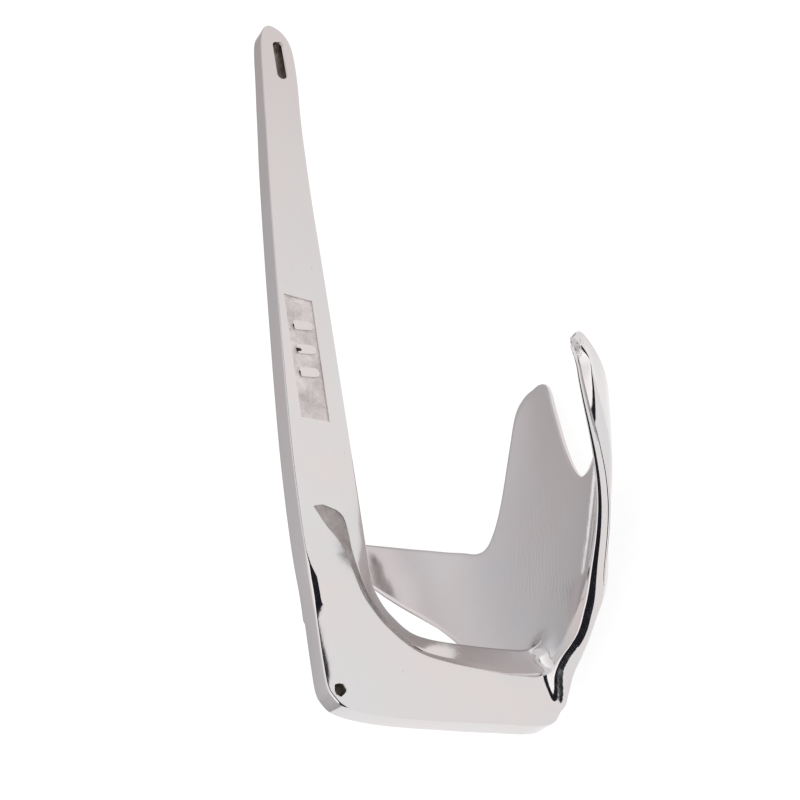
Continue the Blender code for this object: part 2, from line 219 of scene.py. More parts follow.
PANEL_DEPTH = 0.5
PANEL_MIDDLE = 118.0
PANEL_FLARE = 0.12  # how much wider the panel is at the face than on its floor
PANEL_CORNERS = ((1.8, 143.4), (11.8, 142.3), (14.2, 98.1), (4.3, 98.6))
BAR_CENTRES = ((7.6, 132.6), (8.1, 123.8), (8.5, 115.4))
BAR_WIDTH = 3.4
BAR_LENGTH = 7.8
BAR_HEIGHT = 0.4
BAR_FLARE = 0.16  # how much a bar's foot spreads and its top is rounded off
BAR_EDGE = 0.12
BAR_LEAN = math.radians(3.2)

GROOVE_MIDDLE = 45.0
GROOVE_SHALLOW = 0.35
GROOVE_DEEP = 0.9
GROOVE_SECTIONS = 40
GROOVE_UPPER = (
    (5.9, 67.6), (8.7, 68.4), (11.4, 67.7), (14.1, 66.8), (15.7, 65.3), (16.6, 63.2),
    (17.2, 60.0), (17.8, 56.0), (18.7, 51.5), (19.8, 47.3), (21.3, 42.6), (23.2, 38.4),
    (25.6, 34.6), (28.4, 31.1), (31.6, 27.9), (35.4, 24.8), (39.4, 22.4),
)
GROOVE_LOWER = (
    (5.8, 67.2), (6.9, 65.4), (8.5, 62.7), (10.6, 59.9), (13.1, 57.0), (15.2, 54.0),
    (16.4, 50.8), (18.3, 46.1), (20.2, 41.3), (22.2, 36.8), (25.0, 32.4), (28.0, 29.0),
    (31.2, 26.0), (35.0, 23.4), (39.3, 22.2),
)

# ---- looks ----
SHARP_ANGLE = math.radians(38.0)
STEEL_WARM = (0.680, 0.630, 0.622)
STEEL_COOL = (0.660, 0.645, 0.650)
STEEL_SPOT = (0.50, 0.46, 0.45)
STEEL_HEAD_PAINTED_SHADE = (0.59, 0.535, 0.53)  # painted shade: the base colour runs darker towards the head, standing in for the dimmer reflections seen there
HEAD_SHADE = ((6.0, 0.0, 254.0), 150.0)
STEEL_PIT = (0.16, 0.13, 0.11)
CAST_LIGHT = (0.78, 0.72, 0.71)
CAST_DARK = (0.58, 0.53, 0.52)
CAST_SHADE = (0.30, 0.27, 0.26)
LEAF_LIGHT = (0.46, 0.42, 0.41)
LEAF_DARK = (0.30, 0.27, 0.265)
LEAF_SHADE = (0.12, 0.105, 0.10)
HOLE_LIGHT = (0.26, 0.215, 0.18)
HOLE_DARK = (0.09, 0.07, 0.055)
# (spot, reach, pitch, height) of the wheel's ripples and (spot, reach, cells per metre) of the pits
CLAW_RIPPLES = (((88.0, -6.0, 62.0), 34.0, 150.0, 0.00003),)
CLAW_PITS = (((56.0, -81.0, 92.5), 7.0, 900.0), ((60.0, -80.0, 95.0), 5.0, 1300.0))
SHANK_PITS = (((7.5, -4.3, 105.0), 6.0, 1500.0),)

FLOOR_SIZE = 3.0
FLOOR_DROP = 0.0003
FLOOR_PALE = ((0.19, 0.19, 0.19), (0.21, 0.21, 0.21))
FLOOR_GLOW = 0.86
BACKDROP = (1.0, 1.0, 1.0)
ROOM_STRENGTH = 1.0
# what is seen at each height, from the horizon (0) to overhead (1): on the camera's side, where a
# dark room lies below a bright ceiling, beside it, and opposite it
ROOM_STOPS = (
    (0.0, (0.015, 0.016, 0.022)), (0.39, (0.015, 0.016, 0.022)), (0.42, (1.45, 1.45, 1.45)),
    (0.7, (1.3, 1.3, 1.3)), (1.0, (1.0, 1.0, 1.0)),
)
SIDE_STOPS = (
    (0.0, (0.80, 0.78, 0.78)), (0.3, (0.92, 0.90, 0.90)), (0.7, (0.88, 0.87, 0.88)),
    (1.0, (1.0, 1.0, 1.0)),
)
WALL_STOPS = (
    (0.0, (0.49, 0.48, 0.485)), (0.35, (0.58, 0.57, 0.58)), (0.6, (0.70, 0.69, 0.71)),
    (1.0, (1.0, 1.0, 1.0)),
)
ROOM_EDGE = (0.05, 0.30)  # where the camera's side runs over into the wall, along y turned towards x,
ROOM_TURN = 0.5
SIDE_EDGE = (0.455, 0.51)  # and where it runs over into the bright part beside it, along x

CAMERA_PLACE = (-307.738, -505.671, 359.951)
CAMERA_BACK = (-0.444942, -0.769062, 0.458879)
CAMERA_UP = (0.890140, -0.436065, 0.132278)
CAMERA_LENS = 88.898


def place(p):
    """A point in the anchor's own axes, in mm, as a point of the row's frame, in metres."""
    return Vector((p[2] - HALF_LENGTH, p[1], FLOOR_X - p[0])) * MM


def blend(a, b, share):
    return a + (b - a) * share


def clamp(value):
    return max(0.0, min(1.0, value))


def ease(value):
    share = clamp(value)
    return share * share * (3.0 - 2.0 * share)


def catmull(points, splits):
    """Points on a smooth curve through the given ones, with splits steps between each two."""
    points = [Vector(p) for p in points]
    out = []
    for i in range(len(points) - 1):
        p1, p2 = points[i], points[i + 1]
        p0 = points[i - 1] if i else p1 * 2.0 - p2
        p3 = points[i + 2] if i + 2 < len(points) else p2 * 2.0 - p1
        for k in range(splits):
            t = k / splits
            bow = (2.0 * p0 - 5.0 * p1 + 4.0 * p2 - p3) * t * t
            twist = (3.0 * p1 - p0 - 3.0 * p2 + p3) * t * t * t
            out.append(0.5 * (2.0 * p1 + (p2 - p0) * t + bow + twist))
    out.append(points[-1])
    return out


def closed_loft(rings):
    """A bmesh, in the anchor's own axes, through rings of equal length with a cap on each end."""
    bm = bmesh.new()
    rows = [[bm.verts.new(p) for p in ring] for ring in rings]
    count = len(rings[0])
    for low, high in zip(rows, rows[1:]):
        for i in range(count):
            j = (i + 1) % count
            bm.faces.new((low[i], low[j], high[j], high[i]))
    bm.faces.new(rows[0])
    bm.faces.new(rows[-1])
    bmesh.ops.recalc_face_normals(bm, faces=bm.faces)
    return bm


# ---- shank ----

def thickness_at(z):
    """Even around the heel and around the head, and tapered between them."""
    return blend(HEEL_THICKNESS, HEAD_THICKNESS, clamp((z - TAPER_START) / (TAPER_END - TAPER_START)))


def land_at(z):
    low, high = HEAD_LAND_RUN
    return blend(EDGE_LAND, HEAD_LAND, ease((z - low) / (high - low)))


def worn_corner(back, side):
    """Width and slope of the flat the polishing wheel left along a back corner."""
    spots = [w[0] for w in WORN_CORNER]
    run = back.y if back.y > HEEL_TURN else HEEL_TURN - (back.x - HEEL_DEPTH)
    width, slope = [float(np.interp(run, spots, [w[k] for w in WORN_CORNER])) for k in (1, 2)]
    if side > 0.0 and slope > FAR_STEEP:
        width = FAR_WORN
    return width, math.radians(slope)


def bezier(a, b, c, steps):
    return [
        (a * (1.0 - t) ** 2 + b * 2.0 * t * (1.0 - t) + c * t * t)
        for t in (k / steps for k in range(steps + 1))
    ]


def shank_side(back, crease, inner, side):
    """Half of a section, from the middle of the back to the middle of the inner edge, as (x, y, z)."""
    along = inner - back
    length = along.length
    along = along / length
    z = back.y
    half = thickness_at(z) / 2.0
    land = land_at(z) / 2.0
    if side > 0.0:
        low, high = FAR_TAPER_RUN
        half -= FAR_TAPER * ease((z - low) / (high - low))
        land = min(land, half - LAND_INSET)
    depth = (crease - back).dot(along)
    bend = Vector((depth, half))
    worn, slope_in = worn_corner(back, side)
    worn = min(worn, depth * WORN_SHARE)
    edge = Vector((length, land))
    bevel = edge - bend
    slope = bevel.length
    bevel = bevel / slope
    reach = min(CREASE_REACH, slope * 0.4, bend.x * 0.4)
    soft = min(EDGE_RADIUS, land * 0.8, slope * 0.3)
    points = [Vector((0.0, 0.0))]
    start = Vector((0.0, half - worn * math.tan(slope_in)))
    ahead = Vector((math.cos(slope_in), math.sin(slope_in)))
    lead = min(CORNER_RADIUS, worn * 0.6)
    points += bezier(start - Vector((0.0, CORNER_RADIUS)), start, start + ahead * lead, CORNER_STEPS)
    stop = start + ahead * (worn / math.cos(slope_in))
    soft_in = min(WORN_SOFT, worn * 0.3)
    points += bezier(stop - ahead * soft_in, stop, stop + Vector((soft_in, 0.0)), WORN_STEPS)
    points += bezier(bend - Vector((reach, 0.0)), bend, bend + bevel * reach, CREASE_STEPS)
    points += bezier(edge - bevel * soft, edge, edge - Vector((0.0, soft)), CORNER_STEPS)
    points.append(Vector((length, 0.0)))
    out = []
    for p in points:
        foot = back + along * p.x
        out.append(Vector((foot.x, side * p.y, foot.y)))
    return out


def shank_bmesh():
    """The shank as one closed loft, from its head round to the claw."""
    lines = [catmull([(*s[k], 0.0) for s in SHANK_STATIONS], SHANK_SPLITS) for k in range(3)]
    rings = []
    for back, crease, inner in zip(*lines):
        b, c, i = back.xy, crease.xy, inner.xy
        near = shank_side(b, c, i, -1.0)
        far = shank_side(b, c, i, 1.0)
        rings.append(near + far[-2:0:-1])
    return closed_loft(rings)


# ---- claw ----

def along_half(table, k, splits, reach):
    """A table's column k, read smoothly between the claw's middle (0) and a side fluke's tip (1)."""
    line = catmull([(row[0], row[k], 0.0) for row in table], splits)
    return float(np.interp(reach, [p.x for p in line], [p.y for p in line]))


def both_sides(half):
    """A line along half the claw, continued from the other side fluke's tip."""
    return [Vector((p.x, -p.y, p.z)) for p in reversed(half[1:])] + half


def claw_edges():
    """Front and rear edge of the whole claw, from one side fluke's tip to the other's."""
    return [both_sides(catmull([s[k] for s in CLAW_STATIONS], CLAW_SPLITS)) for k in (0, 1)]


def face_terms(y, z):
    """The terms of the claw's inner face, even across the flukes."""
    across = np.asarray(y) / FACE_ACROSS
    along = (np.asarray(z) - FACE_MIDDLE) / FACE_ALONG
    return np.stack([across ** a * along ** b for a in (0, 2, 4, 6) for b in (0, 1, 2)], axis=-1)


class InnerFace:
    """One smooth face through both edges of the claw, hollowed a little between them."""

    def __init__(self):
        spots = []
        weights = []
        for front, rear in CLAW_STATIONS:
            front, rear = Vector(front), Vector(rear)
            hollow = CLAW_CAMBER * min(1.0, (front - rear).length / CAMBER_WIDTH)
            for share in (0.0, 0.25, 0.5, 0.75, 1.0):
                spot = rear.lerp(front, share)
                spots.append((spot.x + hollow * 4.0 * share * (1.0 - share), spot.y, spot.z))
                weights.append(CLAW_CAMBER_WEIGHT if 0.0 < share < 1.0 else 1.0)
        spots = np.array(spots)
        weights = np.array(weights)
        terms = face_terms(spots[:, 1], spots[:, 2]) * weights[:, None]
        calm = CLAW_CALM * np.eye(terms.shape[1])
        calm[0, 0] = 0.0
        known = np.concatenate([spots[:, 0] * weights, np.zeros(len(calm))])
        self.terms = np.linalg.lstsq(np.vstack([terms, calm]), known, rcond=None)[0]

    def depth(self, y, z):
        return float(face_terms(y, z) @ self.terms)

    def spot(self, y, z):
        return Vector((self.depth(y, z), y, z))

    def outward(self, y, z):
        step = 0.5
        slope_y = (self.depth(y + step, z) - self.depth(y - step, z)) / (2.0 * step)
        slope_z = (self.depth(y, z + step) - self.depth(y, z - step)) / (2.0 * step)
        return Vector((1.0, -slope_y, -slope_z)).normalized()


def tangent_at(line, i):
    """Direction of a line of points at one of them."""
    ahead = line[min(i + TANGENT_REACH, len(line) - 1)]
    return (ahead - line[max(i - TANGENT_REACH, 0)]).normalized()


def rear_frame(face, rear, front, tangent):
    """Backwards and down at a place on the claw's rear edge."""
    down = face.outward(rear.y, rear.z)
    back = tangent.cross(down).normalized()
    if back.dot(rear - front) < 0.0:
        back = -back
    return back, down


def bevel_line(face, front, rear):
    """Where the inner face ends and the bevel begins, on half the claw."""
    line = []
    for n in range(len(CLAW_STATIONS)):
        if n < len(CLAW_BEVEL):
            y, z = CLAW_BEVEL[n]
        else:
            i = n * CLAW_SPLITS
            back = rear_frame(face, rear[i], front[i], tangent_at(rear, i))[0]
            y, z = (rear[i] - back * BEVEL_WIDTH).yz
        line.append((0.0, y, z))
    return [face.spot(p.y, p.z) for p in catmull(line, CLAW_SPLITS)]


def rear_outline(drop, flat, thickness, lean, room):
    """Three (back, down) places below the bevel: its lower edge, the worn flat's and the outer corner."""
    bend = Vector((0.0, drop))
    low = bend + Vector((math.cos(lean), math.sin(lean))) * flat
    steep = lean + LOW_TURN
    left = max(LEAST_LOW, thickness - low.y) / math.sin(steep)
    return bend, low, Vector((max(low.x + left * math.cos(steep), -room), thickness))


def claw_skins(face, front, bevel, rear_t, body):
    """The inner and the outer face of one section, from the bevel to the front edge."""
    inner = []
    outer = []
    for k in range(CLAW_SPANS + 1):
        v = k / CLAW_SPANS
        if v < CLAW_CREST:
            share = v / CLAW_CREST
            thickness = blend(rear_t, body, share * (2.0 - share))
        else:
            share = (v - CLAW_CREST) / (1.0 - CLAW_CREST)
            thickness = blend(body, CLAW_FRONT_THICKNESS, share ** CLAW_FALL)
        y = blend(bevel.y, front.y, v)
        z = blend(bevel.z, front.z, v)
        spot = face.spot(y, z)
        inner.append(spot)
        outer.append(spot + face.outward(y, z) * thickness)
    return inner, outer


def front_nose(inner, outer, reach):
    """The rounded front edge, between the last points of both faces."""
    ahead = (inner[-1] - inner[-2]).normalized()
    nose = []
    for k in range(1, FRONT_STEPS):
        angle = math.pi * k / FRONT_STEPS
        middle = inner[-1].lerp(outer[-1], 0.5 * (1.0 - math.cos(angle)))
        nose.append(middle + ahead * reach * math.sin(angle))
    return nose


def claw_section(face, rear, front, bevel, tangent, reach):
    """One section of the claw: inner face, front edge, outer face and bevelled rear edge."""
    width = (front - bevel).length
    drop, flat, rear_t, lean = [along_half(CLAW_REAR, k, REAR_SPLITS, reach) for k in (1, 2, 3, 4)]
    body = along_half(CLAW_BODY, 1, BODY_SPLITS, reach)
    inner, outer = claw_skins(face, front, bevel, rear_t, body)
    nose = front_nose(inner, outer, min(CLAW_FRONT_THICKNESS * 0.5, width * 0.1))
    rear = face.spot(rear.y, rear.z)
    back, down = rear_frame(face, rear, front, tangent)
    outline = rear_outline(drop, flat, rear_t, math.radians(lean), width * UNDERCUT)
    bend, low, corner = [rear + back * p.x + down * p.y for p in outline]
    slope = bend - bevel
    soft = min(CORNER_ROUNDING, slope.length * 0.4, flat * 0.4)
    slope.normalize()
    fall = (low - bend).normalized()
    heel = [bevel + slope * soft * 0.5, bevel.lerp(bend, 0.5)]
    heel += bezier(bend - slope * soft, bend, bend + fall * soft, CORNER_STEPS)
    heel += [low - fall * soft * 0.5] + bezier(low, corner, outer[0], 2 * CORNER_STEPS)[:-1]
    return inner + nose + outer[::-1] + heel[::-1]


def claw_bmesh():
    """The claw as one closed loft, from one side fluke's tip to the other's."""
    face = InnerFace()
    front, rear = claw_edges()
    last = len(front) - 1
    bevel = both_sides(bevel_line(face, front[last // 2:], rear[last // 2:]))
    rings = []
    for i in range(last + 1):
        reach = abs(2.0 * i / last - 1.0)
        rings.append(claw_section(face, rear[i], front[i], bevel[i], tangent_at(rear, i), reach))
    return closed_loft(rings)


# ---- the blended joint between arm and claw ----

def ray_hits(tree, point, way):
    """How often a ray from the point meets the closed surface."""
    count = 0
    start = Vector(point)
    while True:
        hit = tree.ray_cast(start, way)[0]
        if hit is None:
            return count
        count += 1
        start = hit + way * RAY_STEP


def is_inside(tree, point):
    """Whether most rays from the point leave the closed surface an odd number of times."""
    odd = sum(ray_hits(tree, point, Vector(way).normalized()) % 2 for way in RAY_WAYS)
    return odd * 2 > len(RAY_WAYS)


def signed_distance(tree, points):
    """Distance to a closed surface at each point, less than 0 inside it."""
    out = np.empty(len(points))
    for n, p in enumerate(points):
        point = Vector(p)
        spot, normal, _, gap = tree.find_nearest(point)
        lean = (point - spot).dot(normal)
        inside = lean < 0.0
        if abs(lean) < SURE * gap:      # the nearest spot is on an edge, so its face may mislead
            inside = is_inside(tree, point)
        out[n] = -gap if inside else gap
    return out


def share_of(values, run):
    """0 before a run, 1 after it and straight between."""
    return np.clip((values - run[0]) / (run[1] - run[0]), 0.0, 1.0)


def blend_at(x, z):
    """How wide the fillet is at a place: narrow low on the inner side, wide elsewhere."""
    up = share_of(z, BLEND_HIGH_RUN)
    rim = share_of(z, BLEND_RIM_RUN)
    inner = BLEND_LOW + (BLEND_HIGH - BLEND_LOW) * up * up * (3.0 - 2.0 * up)
    inner = inner + (BLEND_RIM - BLEND_HIGH) * rim * rim * (3.0 - 2.0 * rim)
    return blend(inner, BLEND_HIGH, share_of(x, BLEND_OUT_RUN))


def soft_union(a, b, reach):
    """The union of two bodies given by their distances, with a fillet where they meet."""
    h = np.clip(0.5 + 0.5 * (b - a) / reach, 0.0, 1.0)
    return b + (a - b) * h - reach * h * (1.0 - h)


def joint_grid():
    """Grid of points over the joint's block: its places along each axis, and the points."""
    axes = []
    for low, high in zip(JOINT_LOW, JOINT_HIGH):
        axes.append(np.arange(low - JOINT_PITCH, high + JOINT_PITCH * 1.5, JOINT_PITCH))
    return axes, np.stack(np.meshgrid(*axes, indexing="ij"), axis=-1)


def surface_net(field, axes):
    """Quads over the zero surface of a field on a grid, with a vertex in each cell it crosses."""
    inside = field < 0.0
    shape = np.array(field.shape) - 1
    total = np.zeros(tuple(shape) + (3,))
    count = np.zeros(tuple(shape))

    def part(array, c):
        return array[c[0]:c[0] + shape[0], c[1]:c[1] + shape[1], c[2]:c[2] + shape[2]]

    for c in CELL_CORNERS:
        for axis in range(3):
            if c[axis]:
                continue
            d = list(c)
            d[axis] = 1
            a, b = part(field, c), part(field, d)
            hit = (a < 0.0) != (b < 0.0)
            t = np.where(hit, a / np.where(hit, a - b, 1.0), 0.0)
            for k in range(3):
                add = c[k] + (t if k == axis else 0.0)
                total[..., k] += np.where(hit, add, 0.0)
            count += hit
    used = count > 0
    number = -np.ones(tuple(shape), dtype=int)
    number[used] = np.arange(int(used.sum()))
    cell = np.stack(np.nonzero(used), axis=-1)
    spots = cell + total[used] / count[used][:, None]
    start = np.array([a[0] for a in axes])
    verts = start + spots * JOINT_PITCH
    quads = []
    for axis in range(3):
        u, v = [k for k in range(3) if k != axis]
        step = [0, 0, 0]
        step[axis] = 1
        low = inside[tuple(slice(0, -1 if k == axis else None) for k in range(3))]
        high = inside[tuple(slice(1, None) if k == axis else slice(None) for k in range(3))]
        edge = np.stack(np.nonzero(low != high), axis=-1)
        for e in edge:
            if e[u] < 1 or e[v] < 1 or e[u] >= shape[u] or e[v] >= shape[v]:
                continue
            ring = []
            for du, dv in ((0, 0), (-1, 0), (-1, -1), (0, -1)):
                c = e.copy()
                c[u] += du
                c[v] += dv
                ring.append(int(number[tuple(c)]))
            if low[tuple(e)] == (axis == 1):
                ring.reverse()
            quads.append(ring)
    return verts, quads


def sample(field, axes, points):
    """The field, and its slope, at points between the grid's."""
    start = np.array([a[0] for a in axes])
    spot = (points - start) / JOINT_PITCH
    cell = np.clip(np.floor(spot).astype(int), 0, np.array(field.shape) - 2)
    t = spot - cell
    value = np.zeros(len(points))
    slope = np.zeros((len(points), 3))
    for c in CELL_CORNERS:
        f = field[tuple((cell + c).T)]
        sign = 2 * np.array(c) - 1
        x, y, z = np.where(c, t, 1.0 - t).T
        value += f * x * y * z
        slope[:, 0] += f * sign[0] * y * z
        slope[:, 1] += f * sign[1] * x * z
        slope[:, 2] += f * sign[2] * x * y
    return value, slope / JOINT_PITCH


def grid_normals(field, axes, points):
    """Outward unit normals of the field, from slopes that are even over a cell's width."""
    slope = np.zeros((len(points), 3))
    for axis in range(3):
        step = np.zeros(3)
        step[axis] = JOINT_PITCH * 0.7
        ahead, _ = sample(field, axes, points + step)
        behind, _ = sample(field, axes, points - step)
        slope[:, axis] = ahead - behind
    return slope / np.linalg.norm(slope, axis=1)[:, None]


def joint_patch(shank_bm, claw_bm):
    """The blended surface in the joint's block: points, quads, normals and each quad's owner."""
    axes, mesh = joint_grid()
    points = mesh.reshape(-1, 3)
    gaps = []
    for bm in (shank_bm, claw_bm):
        tree = BVHTree.FromBMesh(bm)
        gaps.append(signed_distance(tree, points).reshape(mesh.shape[:3]))
    field = soft_union(*gaps, blend_at(mesh[..., 0], mesh[..., 2]))
    verts, quads = surface_net(field, axes)
    for _ in range(3):
        value, slope = sample(field, axes, verts)
        steep = np.maximum((slope * slope).sum(axis=1), 0.05)
        verts = verts - slope * (value / steep)[:, None]
    bm = bmesh.new()
    spots = [bm.verts.new(v) for v in verts]
    for q in quads:
        bm.faces.new([spots[n] for n in q])
    for axis in range(3):
        facing = Vector([float(k == axis) for k in range(3)])
        for limit in (JOINT_LOW[axis], JOINT_HIGH[axis]):
            geom = bm.verts[:] + bm.edges[:] + bm.faces[:]
            bmesh.ops.bisect_plane(bm, geom=geom, plane_co=facing * limit, plane_no=facing, dist=1e-5)
    beyond = [f for f in bm.faces if not in_block(f.calc_center_median())]
    bmesh.ops.delete(bm, geom=beyond, context="FACES")
    drop_crumbs(bm)
    bm.normal_update()
    spots = np.array([v.co[:] for v in bm.verts])
    normals = grid_normals(field, axes, spots)
    flips = sum(f.normal.dot(Vector(normals[f.verts[0].index])) < 0.0 for f in bm.faces)
    if flips > len(bm.faces) / 2:
        bmesh.ops.reverse_faces(bm, faces=bm.faces)
    centres = np.array([f.calc_center_median()[:] for f in bm.faces])
    on_shank, _ = sample(gaps[0], axes, centres)
    on_claw, _ = sample(gaps[1], axes, centres)
    owners = []
    for c, a, b in zip(centres, on_shank, on_claw):
        if abs(a - b) < blend_at(c[0], c[2]) * WELD_SHARE:
            owners.append("near" if c[1] < 0.0 else "far")
        else:
            owners.append("shank" if a < b else "claw")
    faces = [[v.index for v in f.verts] for f in bm.faces]
    bm.free()
    return spots, faces, normals, owners


def drop_crumbs(bm):
    """Keep only the largest connected piece of a mesh."""
    bm.faces.index_update()
    piece = [-1] * len(bm.faces)
    sizes = []
    for first in bm.faces:
        if piece[first.index] >= 0:
            continue
        number = len(sizes)
        piece[first.index] = number
        reached = [first]
        for face in reached:
            for edge in face.edges:
                for beside in edge.link_faces:
                    if piece[beside.index] < 0:
                        piece[beside.index] = number
                        reached.append(beside)
        sizes.append(len(reached))
    most = sizes.index(max(sizes))
    crumbs = [f for f in bm.faces if piece[f.index] != most]
    if crumbs:
        bmesh.ops.delete(bm, geom=crumbs, context="FACES")


def in_block(p):
    return all(low < c < high for low, c, high in zip(JOINT_LOW, p, JOINT_HIGH))


# ---- building objects ----

def as_object(name, bm, mats):
    """An object in the row's frame from a bmesh in the anchor's own axes."""
    for v in bm.verts:
        v.co = place(v.co)
    mesh = bpy.data.meshes.new(name)
    bm.to_mesh(mesh)
    bm.free()
    obj = bpy.data.objects.new(name, mesh)
    bpy.context.scene.collection.objects.link(obj)
    for mat in mats:
        mesh.materials.append(mat)
    return obj


def cut(obj, cutter):
    """Takes the cutter out of the object; the cut faces keep the cutter's material."""
    step = obj.modifiers.new(cutter.name, "BOOLEAN")
    step.operation = "DIFFERENCE"
    step.solver = "EXACT"
    step.object = cutter
    step.material_mode = "TRANSFER"
    apply_modifiers(obj)
    bpy.data.objects.remove(cutter, do_unlink=True)


def apply_modifiers(obj):
    """Replaces the object's mesh with the one its modifiers give."""
    graph = bpy.context.evaluated_depsgraph_get()
    baked = bpy.data.meshes.new_from_object(obj.evaluated_get(graph), depsgraph=graph)
    obj.modifiers.clear()
    old = obj.data
    obj.data = baked
    bpy.data.meshes.remove(old)


def trim(obj, planes, dropped):
    """Cuts the object's mesh along planes, in the anchor's axes, and drops the faces inside."""
    bm = bmesh.new()
    bm.from_mesh(obj.data)
    for point, normal in planes:
        facing = place(normal) - place((0.0, 0.0, 0.0))
        geom = bm.verts[:] + bm.edges[:] + bm.faces[:]
        bmesh.ops.bisect_plane(bm, geom=geom, plane_co=place(point), plane_no=facing, dist=1e-8)
    gone = [f for f in bm.faces if dropped(unplace(f.calc_center_median()))]
    bmesh.ops.delete(bm, geom=gone, context="FACES")
    bm.to_mesh(obj.data)
    bm.free()


def unplace(p):
    """The reverse of place()."""
    return Vector((FLOOR_X - p.z / MM, p.y / MM, p.x / MM + HALF_LENGTH))


def with_patch(obj, patch, owner):
    """Adds the patch's faces that belong to this owner, with the patch's own normals."""
    spots, faces, normals, owners = patch
    mine = [f for f, o in zip(faces, owners) if o == owner]
    used = sorted({n for f in mine for n in f})
    number = {n: i for i, n in enumerate(used)}
    mesh = obj.data
    base = len(mesh.vertices)
    verts = [v.co[:] for v in mesh.vertices] + [place(spots[n])[:] for n in used]
    polys = [p.vertices[:] for p in mesh.polygons]
    slots = [p.material_index for p in mesh.polygons]
    polys += [[base + number[n] for n in f] for f in mine]
    slots += [0] * len(mine)
    joined = bpy.data.meshes.new(obj.name)
    joined.from_pydata(verts, [], polys)
    joined.polygons.foreach_set("material_index", slots)
    for mat in mesh.materials:
        joined.materials.append(mat)
    joined.shade_smooth()
    joined.set_sharp_from_angle(angle=SHARP_ANGLE)
    facing = {}
    for n in used:
        a = normals[n]
        facing[base + number[n]] = Vector((a[2], a[1], -a[0]))
    automatic = Vector((0.0, 0.0, 0.0))
    joined.normals_split_custom_set([facing.get(loop.vertex_index, automatic) for loop in joined.loops])
    obj.data = joined
    bpy.data.meshes.remove(mesh)


# ---- recesses and holes ----

def rounded_slot(width, length):
    """Outline of a slot with round ends, standing upright around the origin."""
    points = []
    reach = (length - width) / 2.0
    for end, start in ((1, 0.0), (-1, math.pi)):
        for i in range(SLOT_STEPS + 1):
            angle = start + math.pi * i / SLOT_STEPS
            points.append((width / 2.0 * math.cos(angle), end * reach + width / 2.0 * math.sin(angle)))
    return points


def turned(points, centre, lean):
    """(x, z) points turned about the origin and then moved to a centre."""
    c, s = math.cos(lean), math.sin(lean)
    return [(centre[0] + x * c - z * s, centre[1] + x * s + z * c) for x, z in points]


def through_cutter(name, outline_at, half, lip, mat, lip_mat):
    """A cutter right through the shank, flared at both faces so the lips come out rounded."""
    profile = [(-(half + CUT_PAST), lip)]
    for k in range(LIP_STEPS + 1):
        angle = math.pi / 2.0 * k / LIP_STEPS
        profile.append((-half - 0.01 + lip * (1.0 - math.cos(angle)), lip * (1.0 - math.sin(angle))))
    profile += [(-y, grow) for y, grow in reversed(profile)]
    rings = [[Vector((x, y, z)) for x, z in outline_at(grow)] for y, grow in profile]
    cutter = as_object(name, closed_loft(rings), [mat, lip_mat])
    for face in cutter.data.polygons:
        if abs(face.center.y) > (half - 0.6 * lip) * MM:
            face.material_index = 1
    return cutter


def slot_cutter(mat, lip_mat):
    """The shackle's slot in the head."""
    def outline_at(grow):
        outline = rounded_slot(SLOT_WIDTH + 2 * grow, SLOT_LENGTH + 2 * grow)
        return turned(outline, SLOT_CENTRE, SLOT_LEAN)
    return through_cutter("slot_cutter", outline_at, HEAD_THICKNESS / 2.0, SLOT_LIP, mat, lip_mat)


def heel_hole_cutter(mat, lip_mat):
    """The cast hole in the heel is left a little ragged."""
    def outline_at(grow):
        points = []
        for i in range(HOLE_POINTS):
            angle = 2.0 * math.pi * i / HOLE_POINTS
            rag = 1.0
            for waves, height, start in HOLE_RAG:
                rag += height * math.sin(waves * angle + start)
            radius = HEEL_HOLE_DIAMETER / 2.0 * rag + grow
            points.append((radius * math.cos(angle), radius * HOLE_TALL * math.sin(angle)))
        return turned(points, HEEL_HOLE_CENTRE, 0.0)
    return through_cutter("heel_hole_cutter", outline_at, HEEL_THICKNESS / 2.0, HOLE_LIP, mat, lip_mat)


def panel_cutter(rough, bright):
    """The shallow cast panel, around three plain bars that are left standing."""
    half = thickness_at(PANEL_MIDDLE) / 2.0
    floor = PANEL_DEPTH - half
    middle = Vector([sum(c[k] for c in PANEL_CORNERS) / 4.0 for k in (0, 1)])
    rings = []
    for y, grow in ((-half - 2.0, PANEL_FLARE), (-half + 0.05, PANEL_FLARE), (floor, 0.0)):
        ring = []
        for c in PANEL_CORNERS:
            out = Vector(c) - middle
            shift = Vector((math.copysign(grow, out.x), math.copysign(grow, out.y)))
            ring.append(Vector((c[0] + shift.x, y, c[1] + shift.y)))
        rings.append(ring)
    panel = as_object("panel_cutter", closed_loft(rings), [rough, bright])
    top = floor - BAR_HEIGHT
    for number, centre in enumerate(BAR_CENTRES, 1):
        rings = []
        for y, grow in ((floor + 1.0, BAR_FLARE), (top + BAR_EDGE, 0.0), (top, -BAR_FLARE)):
            bar = rounded_slot(BAR_WIDTH + 2 * grow, BAR_LENGTH + 2 * grow)
            outline = turned([(z, x) for x, z in bar], centre, BAR_LEAN)
            rings.append([Vector((x, y, z)) for x, z in outline])
        cut(panel, as_object("bar_keeper_" + str(number), closed_loft(rings), [bright]))
    return panel


def evenly(points, count):
    """The given number of points, evenly spaced along a line of (x, z) points."""
    points = [Vector(p) for p in points]
    run = [0.0]
    for a, b in zip(points, points[1:]):
        run.append(run[-1] + (b - a).length)
    spots = np.linspace(0.0, run[-1], count)
    x = np.interp(spots, run, [p.x for p in points])
    z = np.interp(spots, run, [p.y for p in points])
    return list(zip(x, z))


